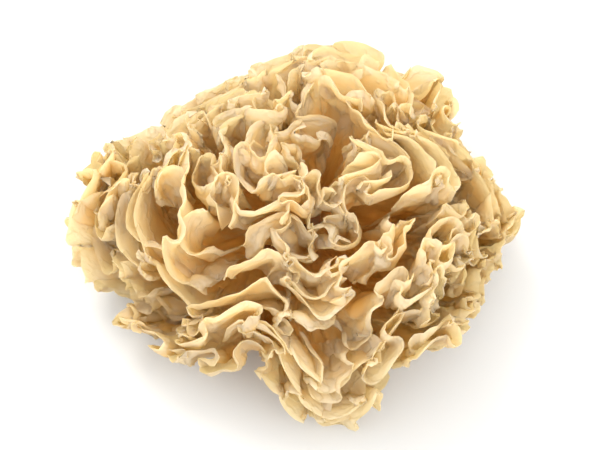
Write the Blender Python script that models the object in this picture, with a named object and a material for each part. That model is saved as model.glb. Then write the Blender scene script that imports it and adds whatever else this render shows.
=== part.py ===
"""A dried snow fungus: one frilled fruit body resting on the flat cut of its base.

The fungus is laid out as one long ruffled ribbon that winds in a flat spiral, from the drooping outside
up to the heart, with its lower edge on the base. The main forks cut the ribbon into separate fronds.
Points are first set out by radius from the heart, angle down from the top, and azimuth. A smooth
warp, the same for every frond, then gives the body its uneven outline without letting fronds meet.
"""

import math
import random

import bmesh
import bpy

MM = 0.001

# The whole fruit body
HEART_HEIGHT = 6.5 * MM
MARGIN_RADIUS = 38.0 * MM
FLATTENING = 0.95
OUTER_LEAN = math.radians(89)
INNER_LEAN = math.radians(6)
TURNS = 6.0
LOWEST_FOLD = 0.7 * MM
GROUND_SOFTNESS = 2.8 * MM

# The uneven growth of the whole body: swings in azimuth, cupped fronds, nested waves and an oval outline
SWAY = 0.16
TWIST = 0.10
CUP = 0.26
CUP_WAVE = 0.12
NEST = 0.18
NEST_RIPPLE = 0.10
OVAL = 0.07
CORNERS = 0.05

# The base, where the fungus was cut from what it grew on
BASE_RADIUS = 10.5 * MM
BASE_WAIST = 9.6 * MM
BASE_SIDES = 24
BASE_DOME_RINGS = 5

# Each frond
FROND_COUNT = 18
ROOT_RADIUS = 11.2 * MM
FROND_THICKNESS = 0.8 * MM
FORK_GAP = 1.6 * MM
WIDTH_OUTSIDE = 1.0
WIDTH_INSIDE = 0.6
FOLD_LENGTH = 11.5 * MM
FOLD_DEPTH = 0.77
FOLD_OVERHANG = 0.13
BROAD_FRONDS = (9, 13, 14)
BROAD_FOLD_LENGTH = 24.0 * MM
ROWS = (0.0, 0.3, 0.58, 0.82, 1.0)
COLUMN_WIDTH = 2.35 * MM
UNEVENNESS = 0.8
LONGEST = 1.06
SHORTEST = 0.88
HEART_FRONDS = 3
HEART_LENGTH = 0.86
SIDE_LENGTH = 0.72
LOBE_HEIGHT = 0.07
DEPTH_WAVE = 0.14
STEEPEST_SLANT = 1.6
TIGHTEST_CURL = 0.12

SEED = 15

FUNGUS_CREAM = (0.72, 0.56, 0.33, 1.0)
BASE_AMBER = (0.42, 0.22, 0.07, 1.0)


def smooth_step(low, high, value):
    """0 below low and 1 above high, with a smooth rise between."""
    t = min(1.0, max(0.0, (value - low) / (high - low)))
    return t * t * (3.0 - 2.0 * t)


def material(name, colour, roughness):
    made = bpy.data.materials.new(name)
    made.use_nodes = True
    shader = made.node_tree.nodes["Principled BSDF"]
    shader.inputs["Base Color"].default_value = colour
    shader.inputs["Roughness"].default_value = roughness
    shader.inputs["Metallic"].default_value = 0.0
    return made


def lean_at(turned):
    """Angle from straight up of the ribbon's middle, after the spiral has turned by this many turns."""
    return OUTER_LEAN + (INNER_LEAN - OUTER_LEAN) * turned / TURNS


def warped(radius, lean, azimuth):
    """A point of the real, uneven body, from a point of the regular one."""
    out = max(0.0, (radius - ROOT_RADIUS) / (MARGIN_RADIUS - ROOT_RADIUS))
    turn = azimuth + SWAY * out * math.sin(3.1 * lean + azimuth + 0.7)
    turn += TWIST * out * math.sin(2.0 * azimuth - 2.3 * lean)
    cup = CUP + CUP_WAVE * math.sin(2.0 * turn + 1.3)
    nest = NEST * math.sin(5.0 * turn + 0.8 * lean + 1.2 * out)
    nest += NEST_RIPPLE * math.sin(8.0 * turn - 1.2 * lean + 2.0)
    tilt = lean + math.sin(lean) * (cup * math.sin(math.pi * out) + nest * out)
    stretch = 1.0 + out * (OVAL * math.cos(2.0 * turn) + CORNERS * math.sin(3.0 * turn + 4.0 * tilt))
    across = radius * stretch * math.sin(tilt)
    height = HEART_HEIGHT + FLATTENING * radius * stretch * math.cos(tilt)
    return (across * math.cos(turn), across * math.sin(turn), above_ground(height))


def above_ground(height):
    """Heights below the lowest fold are pressed flat, as fronds are that reach the ground."""
    return LOWEST_FOLD + GROUND_SOFTNESS * math.log1p(math.exp((height - LOWEST_FOLD) / GROUND_SOFTNESS))


class Frond:
    """One frond: its stretch of the spiral, and how it folds."""

    def __init__(self, number, start, end, draws):
        self.number = number
        self.start = start
        self.end = end
        middle = lean_at((start + end) / 2)
        self.width = (end - start) * 2 * math.pi * MARGIN_RADIUS * math.sin(middle)
        fold = BROAD_FOLD_LENGTH if number in BROAD_FRONDS else FOLD_LENGTH
        self.folds = max(2, round(self.width / fold))
        self.phase = math.pi * draws.choice((0, 1))
        self.unevenness = [draws.uniform(-UNEVENNESS, UNEVENNESS) / k for k in range(1, 5)]
        self.depth_wave = draws.uniform(0.0, 2 * math.pi)
        self.length_wave = draws.uniform(0.0, 2 * math.pi)
        self.length = draws.uniform(SHORTEST, LONGEST)
        if number >= FROND_COUNT - HEART_FRONDS:
            self.length *= HEART_LENGTH
        self.slant = draws.uniform(-STEEPEST_SLANT, STEEPEST_SLANT)
        self.curl = draws.uniform(-TIGHTEST_CURL, TIGHTEST_CURL)

    def fold_phase(self, across):
        uneven = sum(
            size * math.sin(math.pi * k * across)
            for k, size in enumerate(self.unevenness, 1)
        )
        return self.phase + 2 * math.pi * self.folds * across + uneven

    def reach(self, across):
        """How far out the margin is here, as a share of the full length: rounded shoulders and low lobes."""
        shoulder = min(1.0, 1.5 * (4.0 * across * (1.0 - across)) ** 0.5)
        lobes = LOBE_HEIGHT * math.sin(2.2 * math.pi * across + self.length_wave)
        return self.length * (SIDE_LENGTH + (1.0 - SIDE_LENGTH) * shoulder) * (1.0 + lobes)

    def point(self, across, along):
        """across runs from one side to the other, 0 to 1, and along from the root to the margin."""
        phase = self.fold_phase(across) + self.slant * along * along
        radius = ROOT_RADIUS + (MARGIN_RADIUS - ROOT_RADIUS) * along * self.reach(across)
        opening = smooth_step(0.05, 0.95, along)
        side_room = min(1.0, 9.0 * across, 9.0 * (1.0 - across))
        overhang = FOLD_OVERHANG * smooth_step(0.35, 1.0, along) * side_room
        shifted = across + overhang * math.sin(2.0 * phase) / self.folds
        lean = lean_at(self.start + (self.end - self.start) * shifted)
        gap = FORK_GAP / (2 * math.pi * radius * math.sin(lean))
        turned = self.start + gap / 2 + (self.end - self.start - gap) * shifted
        half_band = (OUTER_LEAN - INNER_LEAN) / TURNS / 2
        depth = FOLD_DEPTH * (1.0 - DEPTH_WAVE + DEPTH_WAVE * math.sin(5.0 * across + self.depth_wave))
        lean += half_band * (depth * opening * math.cos(phase) + self.curl * along * along)
        return warped(radius, lean, 2 * math.pi * turned)


def fronds():
    """The spiral cut at the main forks: wide fronds outside, narrow ones at the heart."""
    draws = random.Random(SEED)
    shares = [
        (WIDTH_OUTSIDE + (WIDTH_INSIDE - WIDTH_OUTSIDE) * k / (FROND_COUNT - 1)) * draws.uniform(0.88, 1.12)
        for k in range(FROND_COUNT)
    ]
    edge = [sum(shares[:k]) / sum(shares) for k in range(FROND_COUNT + 1)]
    turned = [turns_at(share) for share in edge]
    return [Frond(k, turned[k], turned[k + 1], draws) for k in range(FROND_COUNT)]


def turns_at(share):
    """How many turns of the spiral hold this share of the margin's whole length."""
    span = math.cos(INNER_LEAN) - math.cos(OUTER_LEAN)
    lean = math.acos(math.cos(OUTER_LEAN) + span * share)
    return TURNS * (OUTER_LEAN - lean) / (OUTER_LEAN - INNER_LEAN)


def frond_object(frond, finish):
    columns = round(frond.width / COLUMN_WIDTH)
    mesh = bmesh.new()
    rows = [
        [mesh.verts.new(frond.point(c / columns, along)) for c in range(columns + 1)]
        for along in ROWS
    ]
    for low, high in zip(rows, rows[1:]):
        for c in range(columns):
            mesh.faces.new((low[c], low[c + 1], high[c + 1], high[c]))
    bmesh.ops.recalc_face_normals(mesh, faces=mesh.faces)
    name = f"frond_{frond.number + 1:02d}"
    data = bpy.data.meshes.new(name)
    mesh.to_mesh(data)
    mesh.free()
    data.materials.append(finish)
    made = bpy.data.objects.new(name, data)
    bpy.context.collection.objects.link(made)
    wall = made.modifiers.new("wall", "SOLIDIFY")
    wall.thickness = FROND_THICKNESS
    wall.offset = 0.0
    return made


def base_profile():
    """Outer line of the base in the plane of radius and height, from the flat cut up over the dome."""
    points = [(BASE_RADIUS, 0.0), (BASE_WAIST, 0.35 * HEART_HEIGHT)]
    for ring in range(BASE_DOME_RINGS):
        lean = math.radians(90) * (1.0 - ring / BASE_DOME_RINGS)
        height = HEART_HEIGHT + FLATTENING * BASE_RADIUS * math.cos(lean)
        points.append((BASE_RADIUS * math.sin(lean), height))
    return points


def base_object(finish):
    mesh = bmesh.new()
    rings = []
    for radius, height in base_profile():
        rings.append(
            [
                mesh.verts.new(
                    (
                        radius * math.cos(2 * math.pi * k / BASE_SIDES),
                        radius * math.sin(2 * math.pi * k / BASE_SIDES),
                        height,
                    )
                )
                for k in range(BASE_SIDES)
            ]
        )
    for low, high in zip(rings, rings[1:]):
        for k in range(BASE_SIDES):
            after = (k + 1) % BASE_SIDES
            mesh.faces.new((low[k], low[after], high[after], high[k]))
    top = mesh.verts.new((0.0, 0.0, HEART_HEIGHT + FLATTENING * BASE_RADIUS))
    for k in range(BASE_SIDES):
        mesh.faces.new((rings[-1][k], rings[-1][(k + 1) % BASE_SIDES], top))
    mesh.faces.new(list(reversed(rings[0])))
    bmesh.ops.recalc_face_normals(mesh, faces=mesh.faces)
    data = bpy.data.meshes.new("base")
    mesh.to_mesh(data)
    mesh.free()
    data.materials.append(finish)
    made = bpy.data.objects.new("base", data)
    bpy.context.collection.objects.link(made)
    return made


def main():
    for old in list(bpy.data.objects):
        bpy.data.objects.remove(old)
    cream = material("fungus_cream", FUNGUS_CREAM, 0.6)
    amber = material("base_amber", BASE_AMBER, 0.75)
    base_object(amber)
    for frond in fronds():
        frond_object(frond, cream)


main()
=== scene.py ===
"""The finish of a dried snow fungus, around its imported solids: the cut base, the folded fronds with their
crisped margins that fork from it, and a plain studio to see them in."""

import math
import random

import bmesh
import bpy
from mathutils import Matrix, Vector


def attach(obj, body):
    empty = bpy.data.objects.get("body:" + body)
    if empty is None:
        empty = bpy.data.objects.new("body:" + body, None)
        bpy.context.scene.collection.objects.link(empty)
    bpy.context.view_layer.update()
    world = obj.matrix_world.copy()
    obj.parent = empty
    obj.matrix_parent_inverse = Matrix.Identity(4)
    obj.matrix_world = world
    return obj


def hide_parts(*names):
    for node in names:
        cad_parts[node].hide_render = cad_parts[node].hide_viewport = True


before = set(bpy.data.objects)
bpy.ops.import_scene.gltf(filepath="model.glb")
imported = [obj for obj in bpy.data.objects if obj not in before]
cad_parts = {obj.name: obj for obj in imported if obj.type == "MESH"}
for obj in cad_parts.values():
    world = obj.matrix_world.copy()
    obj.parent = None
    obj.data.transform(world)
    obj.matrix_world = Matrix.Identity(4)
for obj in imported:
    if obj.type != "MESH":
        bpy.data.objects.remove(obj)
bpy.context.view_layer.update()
MM = 0.001


# The base is the tough stub that held the fungus to its log. It is one solid lump of amber jelly, dried
# hard, and a knife has cut it off flat underneath, so the whole fungus rests on it.
HEART_HEIGHT = 6.5 * MM
FLATTENING = 0.95
BASE_BODY_RADIUS = 10.6 * MM
BASE_NECK_RADIUS = 10.0 * MM
BASE_LOBES = 0.035
BASE_RIPPLES = 0.02
BASE_RINGS = 48
BASE_SIDES = 144
CUT_SHARE = 0.3
NECK_SHARE = 0.5

BASE_PALE_PITH = (0.56, 0.35, 0.14, 1.0)
BASE_PITH = (0.43, 0.21, 0.06, 1.0)
BASE_SKIN = (0.36, 0.16, 0.04, 1.0)
BASE_DARK_SKIN = (0.22, 0.09, 0.02, 1.0)
BASE_CUT_EDGE = 0.3 * MM
FIBRE_SCALE = 7.0
FIBRE_STRETCH = 70.0
BASE_MOTTLE_SCALE = 260.0
BASE_GRAIN_SCALE = 1400.0


class Value:
    """A node's socket, used in sums as a number is: each operator adds its Math node."""

    def __init__(self, tree, socket):
        self.tree = tree
        self.socket = socket

    def math(self, operation, *terms):
        node = self.tree.nodes.new("ShaderNodeMath")
        node.operation = operation
        for entry, term in zip(node.inputs, terms):
            plug(self.tree, term, entry)
        return Value(self.tree, node.outputs[0])

    def __add__(self, other):
        return self.math("ADD", self, other)

    def __radd__(self, other):
        return self.math("ADD", other, self)

    def __sub__(self, other):
        return self.math("SUBTRACT", self, other)

    def __rsub__(self, other):
        return self.math("SUBTRACT", other, self)

    def __mul__(self, other):
        return self.math("MULTIPLY", self, other)

    def __rmul__(self, other):
        return self.math("MULTIPLY", other, self)

    def __truediv__(self, other):
        return self.math("DIVIDE", self, other)

    def __rtruediv__(self, other):
        return self.math("DIVIDE", other, self)

    def __pow__(self, other):
        return self.math("POWER", self, other)

    def __abs__(self):
        return self.math("ABSOLUTE", self)


def plug(tree, term, entry):
    """Links a socket to another node's entry, or sets the entry to a plain value."""
    if isinstance(term, Value):
        tree.links.new(term.socket, entry)
    else:
        entry.default_value = term


def sine(angle):
    return angle.math("SINE", angle)


def cosine(angle):
    return angle.math("COSINE", angle)


def lower(value, limit):
    return value.math("MINIMUM", value, limit)


def higher(value, limit):
    return value.math("MAXIMUM", value, limit)


def step(value, low, high):
    """0 at low and 1 at high, with a smooth rise between."""
    share = lower(higher((value - low) / (high - low), 0.0), 1.0)
    return share * share * (3.0 - 2.0 * share)


class Nodes:
    """A node tree that is filled one node at a time."""

    def __init__(self, tree):
        self.tree = tree

    def add(self, kind, settings=(), entries=(), result=0):
        """Adds a node, sets it, fills its sockets, and gives the one that is named as its result."""
        node = self.tree.nodes.new(kind)
        for name, setting in dict(settings).items():
            if name == "stops":
                set_stops(node.color_ramp, setting)
            else:
                setattr(node, name, setting)
        for name, term in dict(entries).items():
            plug(self.tree, term, node.inputs[name])
        return Value(self.tree, node.outputs[result])

    def joined(self, x, y, z):
        return self.add("ShaderNodeCombineXYZ", entries={"X": x, "Y": y, "Z": z})

    def separated(self, vector):
        """The three axes of a vector."""
        apart = self.tree.nodes.new("ShaderNodeSeparateXYZ")
        plug(self.tree, vector, apart.inputs["Vector"])
        return [Value(self.tree, axis) for axis in apart.outputs]

    def speckle(self, vector, scale, detail, **more):
        """Grey noise, from 0 to 1."""
        entries = {"Vector": vector, "Scale": scale, "Detail": detail}
        return self.add("ShaderNodeTexNoise", entries={**entries, **more})

    def ramp(self, shade, *stops):
        return self.add("ShaderNodeValToRGB", {"stops": stops}, {"Fac": shade})


def set_stops(ramp, stops):
    while len(ramp.elements) < len(stops):
        ramp.elements.new(0.5)
    for element, (place, colour) in zip(ramp.elements, stops):
        element.position = place
        element.color = colour


def new_finish(name):
    """A new Principled material, with its node tree ready to be filled."""
    made = bpy.data.materials.new(name)
    made.use_nodes = True
    return made, Nodes(made.node_tree), made.node_tree.nodes["Principled BSDF"]


def base_finish():
    """Dark dried skin outside, and paler pith with fibres out from the middle where the knife went."""
    made, nodes, shader = new_finish("base_amber")
    place = nodes.add("ShaderNodeTexCoord", result="Object")
    x, y, z = nodes.separated(place)
    out = higher((x * x + y * y) ** 0.5, 0.1 * MM)
    spokes = nodes.joined(x / out, y / out, FIBRE_STRETCH * out)
    fibres = nodes.speckle(spokes, FIBRE_SCALE, 5.0, Roughness=0.6)
    mottle = nodes.speckle(place, BASE_MOTTLE_SCALE, 6.0, Roughness=0.6)
    grain = nodes.speckle(place, BASE_GRAIN_SCALE, 4.0)

    cut = step(z, BASE_CUT_EDGE, 0.0)
    pith = 0.55 + 0.9 * (fibres - 0.5) + 0.7 * (mottle - 0.5) + 0.35 * step(out, BASE_BODY_RADIUS, 0.0)
    colour = nodes.ramp(
        cut * pith + (1.0 - cut) * (0.5 * mottle - 0.05),
        (0.05, BASE_DARK_SKIN),
        (0.3, BASE_SKIN),
        (0.5, BASE_PITH),
        (0.95, BASE_PALE_PITH),
    )
    relief = grain + 1.5 * mottle + 1.6 * cut * fibres
    bump = nodes.add("ShaderNodeBump", entries={"Height": relief, "Strength": 0.6, "Distance": 0.3 * MM})
    plug(nodes.tree, colour, shader.inputs["Base Color"])
    plug(nodes.tree, bump, shader.inputs["Normal"])
    plug(nodes.tree, 0.45 + 0.3 * mottle, shader.inputs["Roughness"])
    return made


def base_point(share, azimuth):
    """A point of the base: share runs from the middle of the cut, round its rim and up over the dome."""
    ripple = BASE_LOBES * math.sin(5.0 * azimuth + 1.0) + BASE_RIPPLES * math.sin(11.0 * azimuth)
    if share < CUT_SHARE:
        across = BASE_BODY_RADIUS * share / CUT_SHARE
        height = 0.0
    elif share < NECK_SHARE:
        rise = (share - CUT_SHARE) / (NECK_SHARE - CUT_SHARE)
        across = BASE_BODY_RADIUS + (BASE_NECK_RADIUS - BASE_BODY_RADIUS) * math.sin(math.pi * rise)
        height = HEART_HEIGHT * rise
    else:
        lean = math.radians(90) * (1.0 - share) / (1.0 - NECK_SHARE)
        across = BASE_BODY_RADIUS * math.sin(lean)
        height = HEART_HEIGHT + FLATTENING * BASE_BODY_RADIUS * math.cos(lean)
    across *= 1.0 + ripple * across / BASE_BODY_RADIUS
    return (across * math.cos(azimuth), across * math.sin(azimuth), height)


def in_scene(name, data):
    made = bpy.data.objects.new(name, data)
    bpy.context.collection.objects.link(made)
    return made


def lathe(name, point, rings, sides):
    """A closed turned form: its first and last rings shrink to a single point."""
    mesh = bmesh.new()
    bottom = mesh.verts.new(point(0.0, 0.0))
    loops = [
        [mesh.verts.new(point(ring / rings, 2.0 * math.pi * side / sides)) for side in range(sides)]
        for ring in range(1, rings)
    ]
    top = mesh.verts.new(point(1.0, 0.0))
    for side in range(sides):
        after = (side + 1) % sides
        mesh.faces.new((bottom, loops[0][after], loops[0][side]))
        mesh.faces.new((top, loops[-1][side], loops[-1][after]))
        for low, high in zip(loops, loops[1:]):
            mesh.faces.new((low[side], low[after], high[after], high[side]))
    bmesh.ops.recalc_face_normals(mesh, faces=mesh.faces)
    data = bpy.data.meshes.new(name)
    mesh.to_mesh(data)
    mesh.free()
    data.shade_smooth()
    return in_scene(name, data)


base = lathe("base_stub", base_point, BASE_RINGS, BASE_SIDES)
base.data.materials.append(base_finish())
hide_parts("base")
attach(base, "root")


# The fronds fork from the base, wound round it in a flat spiral from the drooping outside to the heart.
# Each is a sheet of clear jelly that has dried to a third of a millimetre: cream and crisped at its
# margin, straw in its folds and amber at its root, with smaller leaflets that fork from it. The darkening
# towards the root is partly the real amber and partly painted shade for the hollows among the fronds.
MARGIN_RADIUS = 38.0 * MM
ROOT_RADIUS = 11.2 * MM
FROND_LENGTH = MARGIN_RADIUS - ROOT_RADIUS
OUTER_LEAN = math.radians(89)
INNER_LEAN = math.radians(6)
TURNS = 6.0
HALF_BAND = (OUTER_LEAN - INNER_LEAN) / TURNS / 2
LOWEST_FOLD = 0.7 * MM
GROUND_SOFTNESS = 2.8 * MM
SWAY = 0.16
TWIST = 0.10
CUP = 0.26
CUP_WAVE = 0.12
NEST = 0.18
NEST_RIPPLE = 0.10
OVAL = 0.07
CORNERS = 0.05

FROND_COUNT = 18
WIDTH_OUTSIDE = 1.0
WIDTH_INSIDE = 0.6
WIDTH_SPREAD = (0.88, 1.12)
FORK_GAP = 1.6 * MM
FOLD_LENGTH = 11.5 * MM
FOLD_DEPTH = 0.77
FOLD_OVERHANG = 0.13
BROAD_FRONDS = (9, 13, 14)
BROAD_FOLD_LENGTH = 24.0 * MM
UNEVENNESS = 0.8
UNEVEN_WAVES = (1, 2, 3, 4)
LONGEST = 1.06
SHORTEST = 0.88
HEART_FRONDS = 3
HEART_LENGTH = 0.86
SIDE_LENGTH = 0.72
LOBE_HEIGHT = 0.07
DEPTH_WAVE = 0.14
STEEPEST_SLANT = 1.6
TIGHTEST_CURL = 0.12
SEED = 15
SEED_STEP = 7.3


def turns_at(share):
    """How many turns of the spiral hold this share of the margin's whole length."""
    span = math.cos(INNER_LEAN) - math.cos(OUTER_LEAN)
    lean = math.acos(math.cos(OUTER_LEAN) + span * share)
    return TURNS * (OUTER_LEAN - lean) / (OUTER_LEAN - INNER_LEAN)


def frond_sizes():
    """Each frond's sizes by the names of the tree's inputs: its stretch of the spiral and its own folds."""
    draws = random.Random(SEED)
    shares = []
    for k in range(FROND_COUNT):
        wide = WIDTH_OUTSIDE + (WIDTH_INSIDE - WIDTH_OUTSIDE) * k / (FROND_COUNT - 1)
        shares.append(wide * draws.uniform(*WIDTH_SPREAD))
    edge = [turns_at(sum(shares[:k]) / sum(shares)) for k in range(FROND_COUNT + 1)]
    found = []
    for k, (start, end) in enumerate(zip(edge, edge[1:])):
        middle = OUTER_LEAN + (INNER_LEAN - OUTER_LEAN) * (start + end) / 2 / TURNS
        width = (end - start) * 2 * math.pi * MARGIN_RADIUS * math.sin(middle)
        fold = BROAD_FOLD_LENGTH if k in BROAD_FRONDS else FOLD_LENGTH
        sizes = {"Start": start, "End": end, "Width": width, "Folds": float(max(2, round(width / fold)))}
        sizes["Phase"] = math.pi * draws.choice((0, 1))
        for wave in UNEVEN_WAVES:
            sizes[f"Unevenness {wave}"] = draws.uniform(-UNEVENNESS, UNEVENNESS) / wave
        sizes["Depth Wave"] = draws.uniform(0.0, 2 * math.pi)
        sizes["Length Wave"] = draws.uniform(0.0, 2 * math.pi)
        sizes["Length"] = draws.uniform(SHORTEST, LONGEST)
        if k >= FROND_COUNT - HEART_FRONDS:
            sizes["Length"] *= HEART_LENGTH
        sizes["Slant"] = draws.uniform(-STEEPEST_SLANT, STEEPEST_SLANT)
        sizes["Curl"] = draws.uniform(-TIGHTEST_CURL, TIGHTEST_CURL)
        found.append(sizes)
    return found


ROOT_IN_BASE = -0.1
SHEET_ROWS = 50
WHOLE_SHEET = {
    "Middle": 0.5,
    "Share": 1.0,
    "Fork": ROOT_IN_BASE,
    "Foot": 1.0,
    "Lift": 0.0,
    "Rows": SHEET_ROWS,
}

LEAFLET_ROWS = 30
LARGE_LEAFLET = {"chance": 0.85, "share": (0.55, 0.95), "fork": (0.35, 0.6), "size": 1.0}
SMALL_LEAFLET = {"chance": 0.7, "share": (0.25, 0.4), "fork": (0.6, 0.72), "size": 0.6}
SMALL_LEAFLET_DRIFT = 0.2
LOWER_FACE_CHANCE = 0.5
LEAFLET_FOOT = (0.3, 0.5)
LEAFLET_LIFT = (0.75, 1.15)
CREST_STEPS = 12
CREST_SLANT = 0.6


def crest_at(sizes, turn):
    """Where across the frond its folds have turned by this many half waves, found in a few tries."""
    across = 0.5
    for _ in range(CREST_STEPS):
        uneven = sum(
            sizes[f"Unevenness {wave}"] * math.sin(math.pi * wave * across) for wave in UNEVEN_WAVES
        )
        wanted = math.pi * turn - sizes["Phase"] - uneven - CREST_SLANT * sizes["Slant"]
        across = wanted / (2 * math.pi * sizes["Folds"])
    return across


def leaflet_sizes(sizes, draws):
    """The lobes that fork from the hollow sides of a frond's folds, most of them on its upper face."""
    found = []
    for turn in range(-3, int(2 * sizes["Folds"]) + 4):
        crest = crest_at(sizes, turn)
        upper = turn % 2 == 0
        for kind in (LARGE_LEAFLET, SMALL_LEAFLET):
            share = draws.uniform(*kind["share"]) / sizes["Folds"]
            middle = crest
            if kind is SMALL_LEAFLET:
                middle += draws.uniform(-SMALL_LEAFLET_DRIFT, SMALL_LEAFLET_DRIFT) / sizes["Folds"]
            leaflet = {
                "Middle": middle,
                "Share": share,
                "Fork": draws.uniform(*kind["fork"]),
                "Foot": draws.uniform(*LEAFLET_FOOT),
                "Lift": draws.uniform(*LEAFLET_LIFT) * kind["size"] * (-1.0 if upper else 1.0),
                "Rows": LEAFLET_ROWS * kind["size"],
            }
            chance = kind["chance"] * (1.0 if upper else LOWER_FACE_CHANCE)
            if draws.random() < chance and share < 2 * middle < 2.0 - share:
                found.append(leaflet)
    return found


SHEET_INPUTS = (
    "Start", "End", "Width", "Folds", "Phase",
    "Unevenness 1", "Unevenness 2", "Unevenness 3", "Unevenness 4",
    "Depth Wave", "Length Wave", "Length", "Slant", "Curl",
    "Middle", "Share", "Fork", "Foot", "Lift",
    "Rows", "Columns", "Seed",
)

# Each scale is for a noise whose place on the sheet is given in millimetres
COLUMN_WIDTH = 0.34 * MM
LEAFLET_COLUMN_WIDTH = 0.42 * MM
ROW_CROWDING = 0.45
AT_A_CORNER = 0.9999
CORNER_MERGE = 0.00001
CLEFT_DEPTH = 0.17
CLEFT_SCALE = 0.16
CLEFT_START = 0.22
CLEFT_FULL = 0.5
TOOTH_DEPTH = 0.055
TOOTH_SCALE = 0.4
FRILL_LENGTH = 5.4 * MM
FRILL_HEIGHT = 1.4 * MM
FRILL_REACH = 11.0 * MM
FRILL_WANDER = 2.6
FRILL_WANDER_SCALE = 0.11
FRILL_SIZE_SCALE = 0.09
CREASE_HEIGHT = 0.9 * MM
CREASE_SCALE = 0.13
CRUMPLE_HEIGHT = 5.0 * MM
CRUMPLE_SCALE = 0.2
CRUMPLE_DRIFT = 1.5
CRISP_LENGTH = 2.5 * MM
CRISP_HEIGHT = 1.1 * MM
CRISP_REACH = 4.5 * MM
CRISP_WANDER = 3.0
CRISP_WANDER_SCALE = 0.3
CRISP_SIZE_SCALE = 0.12
LIP_HEIGHT = 2.2 * MM
LIP_REACH = 3.2 * MM
LIP_SCALE = 0.13
PUCKER_HEIGHT = 3.2 * MM
PUCKER_SCALE = 0.5
POCKET_SCALE = 0.12
WRINKLE_HEIGHT = 0.2 * MM
WRINKLE_SCALE = 0.9
LOWEST_SHEET = 0.35 * MM
SHEET_THICKNESS = 0.34 * MM
THIN_EDGE = 1.6 * MM
PALE_EDGE = 2.6 * MM
CLOSED_EDGE = 0.01 * MM
WALL_MERGE = 0.001 * MM
SHARPEST_BEND = math.radians(80)

# Each noise along the margin is read in a layer of its own, and each sheet has its own dimples
CLEFT_LAYER = 3.0
FRILL_LAYER = 5.0
TOOTH_LAYER = 9.0
CRISP_LAYER = 14.0
LIP_LAYER = 21.0
CRUMPLE_SHIFT = 37.0
PUCKER_SHIFT = 91.0


def above_ground(height):
    """Heights below the lowest fold are pressed flat, as fronds are that reach the ground."""
    grown = (height - LOWEST_FOLD) / GROUND_SOFTNESS
    grown = 1.0 + grown.math("EXPONENT", grown)
    return LOWEST_FOLD + GROUND_SOFTNESS * grown.math("LOGARITHM", grown, math.e)


def warped(nodes, radius, lean, azimuth):
    """A point of the real, uneven body, from a point of the regular one."""
    out = higher((radius - ROOT_RADIUS) / FROND_LENGTH, 0.0)
    turn = azimuth + SWAY * out * sine(3.1 * lean + azimuth + 0.7)
    turn = turn + TWIST * out * sine(2.0 * azimuth - 2.3 * lean)
    cup = CUP + CUP_WAVE * sine(2.0 * turn + 1.3)
    nest = NEST * sine(5.0 * turn + 0.8 * lean + 1.2 * out)
    nest = nest + NEST_RIPPLE * sine(8.0 * turn - 1.2 * lean + 2.0)
    tilt = lean + sine(lean) * (cup * sine(math.pi * out) + nest * out)
    stretch = 1.0 + out * (OVAL * cosine(2.0 * turn) + CORNERS * sine(3.0 * turn + 4.0 * tilt))
    across = radius * stretch * sine(tilt)
    height = HEART_HEIGHT + FLATTENING * radius * stretch * cosine(tilt)
    return nodes.joined(across * cosine(turn), across * sine(turn), above_ground(height))


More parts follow.
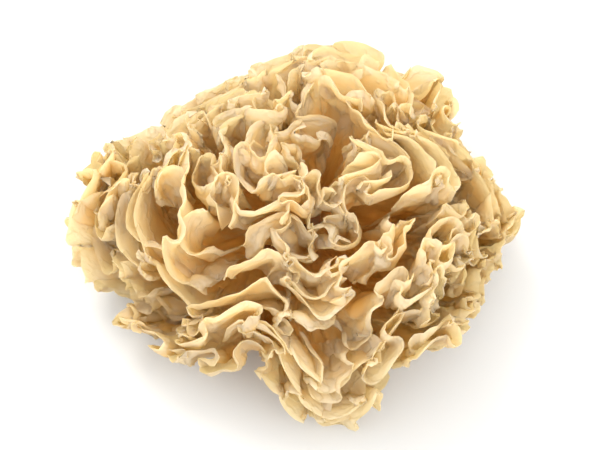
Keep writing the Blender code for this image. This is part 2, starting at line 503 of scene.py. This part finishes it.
class Sheet:
    """One folded sheet as its tree is built: the whole of a frond, or a leaflet that forks from one."""

    def __init__(self, tree):
        self.nodes = Nodes(tree)
        inputs = tree.nodes.new("NodeGroupInput")
        self.others = Value(tree, inputs.outputs["Geometry"])
        self.size = {name: Value(tree, inputs.outputs[name]) for name in SHEET_INPUTS}
        self.seed = self.size["Seed"]
        share = self.size["Share"]
        self.leaflet = share.math("LESS_THAN", share, 1.0)

    def noise(self, x, y, z, scale, detail=2.0):
        """Smooth noise between about -1 and 1."""
        return 2.0 * self.nodes.speckle(self.nodes.joined(x, y, z), scale, detail) - 1.0

    def dimples(self, x, y, scale):
        """Hollows between sharp ridges, as in a skin that shrank: about -0.3 deep and 0.3 high."""
        place = self.nodes.joined(x, y, 0.0)
        away = self.nodes.add(
            "ShaderNodeTexVoronoi",
            {"voronoi_dimensions": "2D"},
            {"Vector": place, "Scale": scale},
            "Distance",
        )
        return away * away - 0.3

    def keep(self, name, value):
        """Keeps a number at each point under this name."""
        self.mesh = self.nodes.add(
            "GeometryNodeStoreNamedAttribute",
            {"data_type": "FLOAT", "domain": "POINT"},
            {"Geometry": self.mesh, "Name": name, "Value": value},
        )

    def kept(self, name):
        return self.nodes.add("GeometryNodeInputNamedAttribute", {"data_type": "FLOAT"}, {"Name": name})

    def place(self):
        return self.nodes.separated(self.nodes.add("GeometryNodeInputPosition"))

    def moved_to(self, place):
        entries = {"Geometry": self.mesh, "Position": place}
        return self.nodes.add("GeometryNodeSetPosition", entries=entries)

    def moved_out(self, amount):
        """The sheet with each point moved along its normal."""
        offset = self.nodes.add(
            "ShaderNodeVectorMath",
            {"operation": "SCALE"},
            {0: self.nodes.add("GeometryNodeInputNormal"), "Scale": amount},
        )
        entries = {"Geometry": self.mesh, "Offset": offset}
        return self.nodes.add("GeometryNodeSetPosition", entries=entries)

    def lay_flat(self):
        """A flat square of points with its four corners trimmed, and more rows towards the margin."""
        columns = self.size["Columns"].math("FLOOR", self.size["Columns"])
        grid = {"Size X": 1.0, "Size Y": 1.0, "Vertices X": columns, "Vertices Y": self.size["Rows"]}
        self.mesh = self.nodes.add("GeometryNodeMeshGrid", entries=grid)
        x, y, _ = self.place()
        off_middle = abs(x) + abs(y)
        corner = off_middle.math("GREATER_THAN", off_middle, AT_A_CORNER)
        trimmed = x - corner / (columns - 1.0) * x.math("SIGN", x)
        self.mesh = self.moved_to(self.nodes.joined(trimmed, y, 0.0))
        entries = {"Geometry": self.mesh, "Distance": CORNER_MERGE}
        self.mesh = self.nodes.add("GeometryNodeMergeByDistance", entries=entries)
        even_rise = y + 0.5
        self.keep("side", x + 0.5)
        self.keep("rise", even_rise * (1.0 + ROW_CROWDING - ROW_CROWDING * even_rise))
        self.side = self.kept("side")
        self.rise = self.kept("rise")

    def spread(self):
        """Where each point lies on the frond. A leaflet widens from its foot and has a rounded margin."""
        size, side, rise = self.size, self.side, self.rise
        widening = size["Foot"] + (1.0 - size["Foot"]) * rise
        self.across = size["Middle"] + (side - 0.5) * size["Share"] * widening
        self.run = self.across * size["Width"] * (1.0 / MM)
        shoulder = (4.0 * side * (1.0 - side)) ** 0.5
        rounding = 1.0 - self.leaflet * (0.75 - 0.75 * lower(1.25 * shoulder, 1.0))
        self.along = size["Fork"] + (1.0 - size["Fork"]) * rise * rounding
        self.keep("along", self.along)
        self.keep("run", self.run)
        self.from_margin = (1.0 - self.along) * FROND_LENGTH
        self.rise_run = FROND_LENGTH / MM * self.along

    def reach(self):
        """How far out the margin is here: rounded shoulders, low lobes, a few clefts and small teeth."""
        size, across = self.size, self.across
        shoulder = (4.0 * lower(higher(across * (1.0 - across), 0.0), 0.25)) ** 0.5
        lobes = sine(2.2 * math.pi * across + size["Length Wave"])
        reach = SIDE_LENGTH + (1.0 - SIDE_LENGTH) * lower(1.5 * shoulder, 1.0)
        reach = size["Length"] * reach * (1.0 + LOBE_HEIGHT * lobes)
        clefts = self.noise(self.run, self.seed, CLEFT_LAYER, CLEFT_SCALE)
        clefts = step(clefts, CLEFT_START, CLEFT_FULL)
        teeth = self.noise(self.run, self.seed, TOOTH_LAYER, TOOTH_SCALE, 4.0)
        return reach * (1.0 - CLEFT_DEPTH * clefts * (1.0 - self.leaflet) + TOOTH_DEPTH * teeth)

    def fold(self):
        """The main folds, which fill the sheet's own band of the spiral."""
        size, across, along = self.size, self.across, self.along
        phase = size["Phase"] + 2.0 * math.pi * size["Folds"] * across
        for wave in UNEVEN_WAVES:
            phase = phase + size[f"Unevenness {wave}"] * sine(math.pi * wave * across)
        phase = phase + size["Slant"] * along * along
        radius = ROOT_RADIUS + FROND_LENGTH * along * self.reach()
        side_room = lower(lower(9.0 * across, 9.0 * (1.0 - across)), 1.0)
        overhang = FOLD_OVERHANG * step(along, 0.35, 1.0) * side_room
        shifted = across + overhang * sine(2.0 * phase) / size["Folds"]
        span = size["End"] - size["Start"]
        lean = OUTER_LEAN + (INNER_LEAN - OUTER_LEAN) / TURNS * (size["Start"] + span * shifted)
        gap = FORK_GAP / (2.0 * math.pi * radius * sine(lean))
        turned = size["Start"] + gap / 2.0 + (span - gap) * shifted
        depth = FOLD_DEPTH * (1.0 - DEPTH_WAVE + DEPTH_WAVE * sine(5.0 * across + size["Depth Wave"]))
        folded = depth * step(along, 0.05, 0.95) * cosine(phase) * (1.0 - 0.35 * self.leaflet)
        lifted = size["Lift"] * step(self.rise, 0.0, 0.8) * (1.0 + 0.3 * sine(9.0 * self.side + self.seed))
        lean = lean + HALF_BAND * (folded + lifted + size["Curl"] * along * along)
        self.mesh = self.moved_to(warped(self.nodes, radius, lean, 2.0 * math.pi * turned))
        self.flank = 0.15 + 0.85 * sine(phase) ** 2.0

    def ruffle(self):
        """Crumples all over, and frills on the flanks of the folds, clear of the next frond."""
        run, rise_run, seed = self.run, self.rise_run, self.seed
        self.bent_run = run + CRUMPLE_DRIFT * self.noise(run, rise_run, seed, CRUMPLE_SCALE)
        self.crumple = self.dimples(self.bent_run, 0.55 * rise_run + CRUMPLE_SHIFT * seed, CRUMPLE_SCALE)
        wander = FRILL_WANDER * self.noise(run, 0.3 * rise_run, seed, FRILL_WANDER_SCALE)
        self.frill_phase = 2.0 * math.pi * MM / FRILL_LENGTH * run + wander
        flank = self.flank
        calm = 1.0 - 0.45 * self.leaflet
        uneven = 1.0 + 0.9 * self.noise(run, seed, FRILL_LAYER, FRILL_SIZE_SCALE)
        frill_size = FRILL_HEIGHT * flank * calm * uneven
        frill = frill_size * step(self.from_margin, FRILL_REACH, 0.0) * sine(self.frill_phase)
        crease = self.noise(run, rise_run, seed, CREASE_SCALE, 3.0) * CREASE_HEIGHT
        crumpled = crease + self.crumple * CRUMPLE_HEIGHT * (0.3 + 0.7 * flank)
        crumpled = crumpled * calm * step(self.along, 0.0, 0.5)
        self.mesh = self.moved_out(crumpled + frill)

    def crisp(self):
        """Crisping and a rolled lip at the margin, and fine puckers and wrinkles all over."""
        run, rise_run, seed, from_margin = self.run, self.rise_run, self.seed, self.from_margin
        wander = CRISP_WANDER * self.noise(run, 0.8 * rise_run, seed, CRISP_WANDER_SCALE)
        crisp_phase = 2.0 * math.pi * MM / CRISP_LENGTH * run + wander
        uneven = 0.5 + 1.8 * self.noise(run, seed, CRISP_LAYER, CRISP_SIZE_SCALE)
        crisp_size = CRISP_HEIGHT * higher(uneven, 0.0)
        crisp = crisp_size * step(from_margin, CRISP_REACH, 0.0) * sine(crisp_phase)
        crisp = crisp * (0.2 + 0.8 * cosine(self.frill_phase) ** 2.0)
        lip = LIP_HEIGHT * self.noise(run, seed, LIP_LAYER, LIP_SCALE) * step(from_margin, LIP_REACH, 0.0)
        pockets = higher(0.5 + 0.8 * self.noise(run, rise_run, seed, POCKET_SCALE), 0.1)
        pucker = self.dimples(self.bent_run, 0.6 * rise_run + PUCKER_SHIFT * seed, PUCKER_SCALE)
        puckered = pucker * PUCKER_HEIGHT * step(self.along, 0.1, 0.7) * pockets
        wrinkle = WRINKLE_HEIGHT * self.noise(run, 0.5 * rise_run, seed, WRINKLE_SCALE, 4.0)
        fine = (crisp + lip + puckered) * (0.4 + 0.6 * self.flank) + wrinkle
        self.mesh = self.moved_out(fine)
        # Painted light and shade: the crumple and pucker relief is kept so that the colour is paler on the
        # ridges and darker in the hollows.
        self.keep("ridge", self.crumple + pucker * pockets)

    def press(self):
        """Nothing reaches below the ground, however much it is crumpled."""
        x, y, z = self.place()
        above = z - LOWEST_SHEET
        above = 0.5 * (above + (above * above + LOWEST_SHEET * LOWEST_SHEET) ** 0.5)
        self.mesh = self.moved_to(self.nodes.joined(x, y, LOWEST_SHEET + above))

    def thicken(self):
        """Two walls, which meet in a thin edge all round."""
        columns = self.size["Columns"]
        room = lower(self.side * columns * COLUMN_WIDTH, (1.0 - self.side) * columns * COLUMN_WIDTH)
        room = lower(room, (1.0 - self.rise) * (1.0 - self.size["Fork"]) * FROND_LENGTH)
        room = lower(room, self.rise * FROND_LENGTH)
        self.keep("edge", step(room, PALE_EDGE, 0.0))
        half = 0.5 * SHEET_THICKNESS * step(room, -0.3 * THIN_EDGE, THIN_EDGE)
        half = half * step(room, 0.0, CLOSED_EDGE)
        outer = self.moved_out(half)
        inner = self.nodes.add("GeometryNodeFlipFaces", entries={"Mesh": self.moved_out(-1.0 * half)})
        both = {"Geometry": self.together(outer, inner), "Distance": WALL_MERGE}
        walls = self.nodes.add("GeometryNodeMergeByDistance", entries=both)
        walls = self.nodes.add("GeometryNodeSetShadeSmooth", entries={"Geometry": walls})
        bend = self.nodes.add("GeometryNodeInputMeshEdgeAngle", result="Unsigned Angle")
        sharp = bend.math("GREATER_THAN", bend, SHARPEST_BEND)
        entries = {"Geometry": walls, "Selection": sharp, "Shade Smooth": False}
        self.mesh = self.nodes.add("GeometryNodeSetShadeSmooth", {"domain": "EDGE"}, entries)

    def together(self, first, second):
        tree = self.nodes.tree
        both = tree.nodes.new("GeometryNodeJoinGeometry")
        tree.links.new(first.socket, both.inputs[0])
        tree.links.new(second.socket, both.inputs[0])
        return Value(tree, both.outputs[0])

    def finished(self, finish):
        """This sheet together with the ones before it, in their finish."""
        whole = self.together(self.others, self.mesh)
        whole = self.nodes.add("GeometryNodeRealizeInstances", entries={"Geometry": whole})
        entries = {"Geometry": whole, "Material": finish}
        return self.nodes.add("GeometryNodeSetMaterial", entries=entries)


def sheet_tree(finish):
    tree = bpy.data.node_groups.new("frond_sheet", "GeometryNodeTree")
    tree.interface.new_socket("Geometry", in_out="INPUT", socket_type="NodeSocketGeometry")
    for name in SHEET_INPUTS:
        tree.interface.new_socket(name, in_out="INPUT", socket_type="NodeSocketFloat")
    tree.interface.new_socket("Geometry", in_out="OUTPUT", socket_type="NodeSocketGeometry")
    sheet = Sheet(tree)
    sheet.lay_flat()
    sheet.spread()
    sheet.fold()
    sheet.ruffle()
    sheet.crisp()
    sheet.press()
    sheet.thicken()
    outputs = tree.nodes.new("NodeGroupOutput")
    tree.links.new(sheet.finished(finish).socket, outputs.inputs["Geometry"])
    return tree


CREAM = (0.83, 0.775, 0.64, 1.0)
STRAW = (0.90, 0.71, 0.40, 1.0)
AMBER = (0.93, 0.53, 0.13, 1.0)
GLOW = (1.0, 0.88, 0.60, 1.0)
GLOW_SHARE = 0.62
PATCH_SCALE = 75.0
MOTTLE_SCALE = 420.0
VEIN_SCALE = 0.9
VEIN_STRETCH = 12.0
CREASE_MARK_SCALE = 0.42
CREASE_MARK_SHARPNESS = 11.0


def frond_finish():
    """Dried jelly: glossy, and it lets through more light than it sends back."""
    made, nodes, shader = new_finish("fungus_cream")
    place = nodes.add("ShaderNodeTexCoord", result="Object")
    # The ridge attribute paints the sheet paler on its crumpled ridges and darker in its hollows: painted
    # light and shade.
    along, run, ridge, edge = (
        nodes.add("ShaderNodeAttribute", {"attribute_name": name}, result="Fac")
        for name in ("along", "run", "ridge", "edge")
    )
    on_sheet = nodes.joined(run, VEIN_STRETCH * along, 0.0)
    patches = nodes.speckle(place, PATCH_SCALE, 3.0)
    mottle = nodes.speckle(place, MOTTLE_SCALE, 5.0, Roughness=0.6)
    veins = nodes.speckle(on_sheet, VEIN_SCALE, 6.0, Roughness=0.62)
    off_crease = abs(2.0 * nodes.speckle(on_sheet, CREASE_MARK_SCALE, 3.0) - 1.0)
    creases = higher(1.0 - CREASE_MARK_SHARPNESS * off_crease, 0.0)

    # Painted shade: the along term darkens the sheet from its margin down to its root, partly the real
    # amber of the root and partly painted shade for the hollows among the fronds.
    shade = 1.3 * along - 0.37 + 0.35 * edge + 0.5 * ridge + 1.4 * (patches - 0.5)
    # Painted highlight: the creases term makes the colour paler along the raised crease lines that the bump
    # also draws.
    shade = shade + 0.45 * (veins - 0.5) + 0.3 * (mottle - 0.5) + 0.25 * creases
    colour = nodes.ramp(shade, (0.16, AMBER), (0.52, STRAW), (0.95, CREAM))
    relief = veins + 0.3 * mottle + 0.8 * creases
    bump = nodes.add("ShaderNodeBump", entries={"Height": relief, "Strength": 0.7, "Distance": 0.5 * MM})
    plug(nodes.tree, colour, shader.inputs["Base Color"])
    plug(nodes.tree, bump, shader.inputs["Normal"])
    plug(nodes.tree, 0.25 + 0.35 * mottle, shader.inputs["Roughness"])
    glow = nodes.add("ShaderNodeBsdfTranslucent", entries={"Color": GLOW})
    surface = Value(nodes.tree, shader.outputs["BSDF"])
    mixed = nodes.add("ShaderNodeMixShader", entries={"Fac": GLOW_SHARE, 1: surface, 2: glow})
    plug(nodes.tree, mixed, nodes.tree.nodes["Material Output"].inputs["Surface"])
    return made


def set_input(modifier, name, value):
    for item in modifier.node_group.interface.items_tree:
        if item.in_out == "INPUT" and item.name == name:
            modifier[item.identifier] = value


def add_sheet(maker, tree, sizes, column_width, seed):
    """Adds one sheet to those that the maker already holds."""
    modifier = maker.modifiers.new("sheet", "NODES")
    modifier.node_group = tree
    for name, value in sizes.items():
        set_input(modifier, name, float(value))
    set_input(modifier, "Columns", sizes["Share"] * sizes["Width"] / column_width)
    set_input(modifier, "Seed", seed)


def plain_mesh(maker, name):
    """A plain new object with the maker's finished mesh. The maker goes, and its modifiers with it."""
    graph = bpy.context.evaluated_depsgraph_get()
    data = bpy.data.meshes.new_from_object(maker.evaluated_get(graph))
    data.name = name
    bpy.data.objects.remove(maker)
    return in_scene(name, data)


cream = frond_finish()
sheets = sheet_tree(cream)
leaf_draws = random.Random(SEED)
for number, sizes in enumerate(frond_sizes(), 1):
    maker = in_scene("maker", bpy.data.meshes.new("maker"))
    seed = SEED_STEP * number
    add_sheet(maker, sheets, {**sizes, **WHOLE_SHEET}, COLUMN_WIDTH, seed)
    for leaflet in leaflet_sizes(sizes, leaf_draws):
        add_sheet(maker, sheets, {**sizes, **leaflet}, LEAFLET_COLUMN_WIDTH, seed + leaf_draws.random())
    frond = plain_mesh(maker, f"frond_{number:02d}_sheet")
    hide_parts(f"frond_{number:02d}")
    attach(frond, "root")


# The studio is a wide pale floor under an even white sky, with a soft light behind on the left and a
# weaker one in front on the right. The camera looks down on the frilled face, as the photo does.
FLOOR_HALF_WIDTH = 4.0
FLOOR_GREY = (0.62, 0.62, 0.61, 1.0)
SKY_STRENGTH = 1.75
WHITE = (1.0, 1.0, 1.0)
WARM_WHITE = (1.0, 0.98, 0.95)
CAMERA_ELEVATION = math.radians(65)
CAMERA_DISTANCE = 0.42
CAMERA_LENS = 135.0
CAMERA_AIM = Vector((-0.5 * MM, -3.5 * MM, 20.0 * MM))


def facing(place, target):
    """The turn that points a light or a camera at its target."""
    return (target - place).to_track_quat("-Z", "Y").to_euler()


def soft_light(name, azimuth, elevation, distance, width, power, tint):
    data = bpy.data.lights.new(name, "AREA")
    data.shape = "DISK"
    data.size = width
    data.energy = power
    data.color = tint
    made = in_scene(name, data)
    flat = distance * math.cos(elevation)
    made.location = (flat * math.cos(azimuth), flat * math.sin(azimuth), distance * math.sin(elevation))
    made.rotation_euler = facing(made.location, Vector((0.0, 0.0, 0.0)))


floor_mesh = bpy.data.meshes.new("floor")
corners = ((-1, -1), (1, -1), (1, 1), (-1, 1))
places = [(FLOOR_HALF_WIDTH * x, FLOOR_HALF_WIDTH * y, 0.0) for x, y in corners]
floor_mesh.from_pydata(places, [], [(0, 1, 2, 3)])
floor_finish, floor_nodes, floor_shader = new_finish("floor_white")
floor_shader.inputs["Base Color"].default_value = FLOOR_GREY
floor_shader.inputs["Roughness"].default_value = 0.8
floor_mesh.materials.append(floor_finish)
floor = in_scene("floor", floor_mesh)

soft_light(
    "key",
    azimuth=math.radians(125),
    elevation=math.radians(50),
    distance=0.7,
    width=0.35,
    power=2.7,
    tint=WARM_WHITE,
)
soft_light(
    "fill",
    azimuth=math.radians(-40),
    elevation=math.radians(40),
    distance=0.8,
    width=0.5,
    power=1.3,
    tint=WHITE,
)
world = bpy.data.worlds.new("studio")
world.use_nodes = True
sky = world.node_tree.nodes["Background"]
sky.inputs["Color"].default_value = (*WHITE, 1.0)
sky.inputs["Strength"].default_value = SKY_STRENGTH
bpy.context.scene.world = world
bpy.context.scene.view_settings.view_transform = "Standard"

camera_data = bpy.data.cameras.new("camera")
camera_data.lens = CAMERA_LENS
camera = in_scene("camera", camera_data)
towards_camera = Vector((0.0, -math.cos(CAMERA_ELEVATION), math.sin(CAMERA_ELEVATION)))
camera.location = CAMERA_AIM + CAMERA_DISTANCE * towards_camera
camera.rotation_euler = facing(camera.location, CAMERA_AIM)
bpy.context.scene.camera = camera
